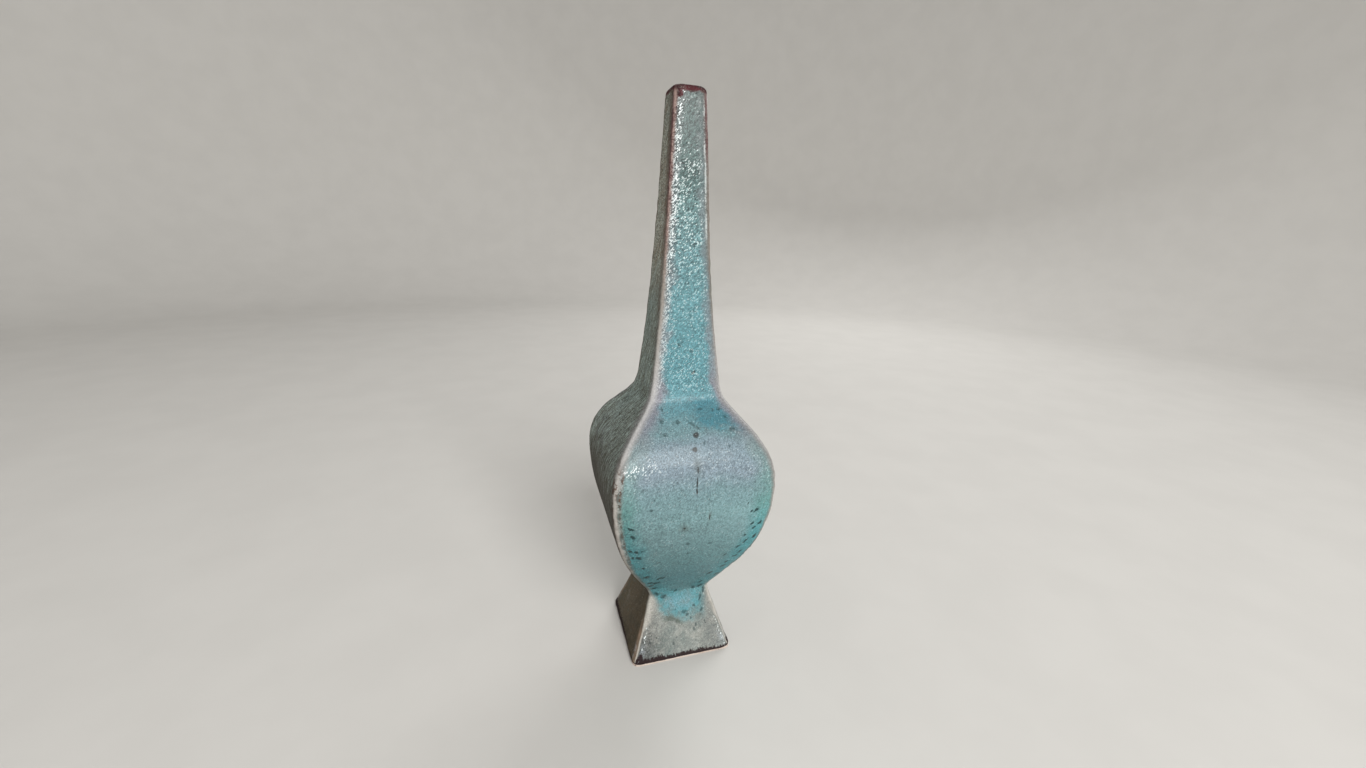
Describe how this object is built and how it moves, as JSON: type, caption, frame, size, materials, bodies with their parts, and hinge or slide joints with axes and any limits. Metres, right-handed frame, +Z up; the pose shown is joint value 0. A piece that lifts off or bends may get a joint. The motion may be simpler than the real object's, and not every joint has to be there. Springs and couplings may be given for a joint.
{
  "type": "bud vase",
  "caption": "Tall square bud vase in glazed stoneware, slab-built with a tapered hollow foot, a rounded belly and a long neck that narrows to a small mouth.",
  "frame": {"origin": "middle of the square foot, on the table it stands on", "axes": "+Z up along the vase from foot to mouth, -Y out of the front face, +X to the right seen from the front"},
  "size_m": [0.0744, 0.0744, 0.26],
  "materials": {
    "stoneware": "bare fired stoneware, matt and slightly gritty",
    "seam_clay": "bare fired seam clay, smoothed by hand",
    "turquoise_glaze": "mottled turquoise crystalline glaze, satin with fine sparkle, maroon where thin",
    "lining_glaze": "plain grey-green glaze, glossy"
  },
  "bodies": {
    "root": {"foot_wall_front": "stoneware", "foot_wall_right": "stoneware", "foot_wall_back": "stoneware", "foot_wall_left": "stoneware", "foot_coil_front_left": "seam_clay", "foot_coil_front_right": "seam_clay", "foot_coil_back_right": "seam_clay", "foot_coil_back_left": "seam_clay", "body_wall_front": "stoneware", "body_wall_right": "stoneware", "body_wall_back": "stoneware", "body_wall_left": "stoneware", "body_coil_front_left": "seam_clay", "body_coil_front_right": "seam_clay", "body_coil_back_right": "seam_clay", "body_coil_back_left": "seam_clay", "neck_wall_front": "stoneware", "neck_wall_right": "stoneware", "neck_wall_back": "stoneware", "neck_wall_left": "stoneware", "neck_coil_front_left": "seam_clay", "neck_coil_front_right": "seam_clay", "neck_coil_back_right": "seam_clay", "neck_coil_back_left": "seam_clay", "floor_slab": "stoneware", "outer_glaze": "turquoise_glaze", "lining_glaze": "lining_glaze"}
  },
  "joints": []
}
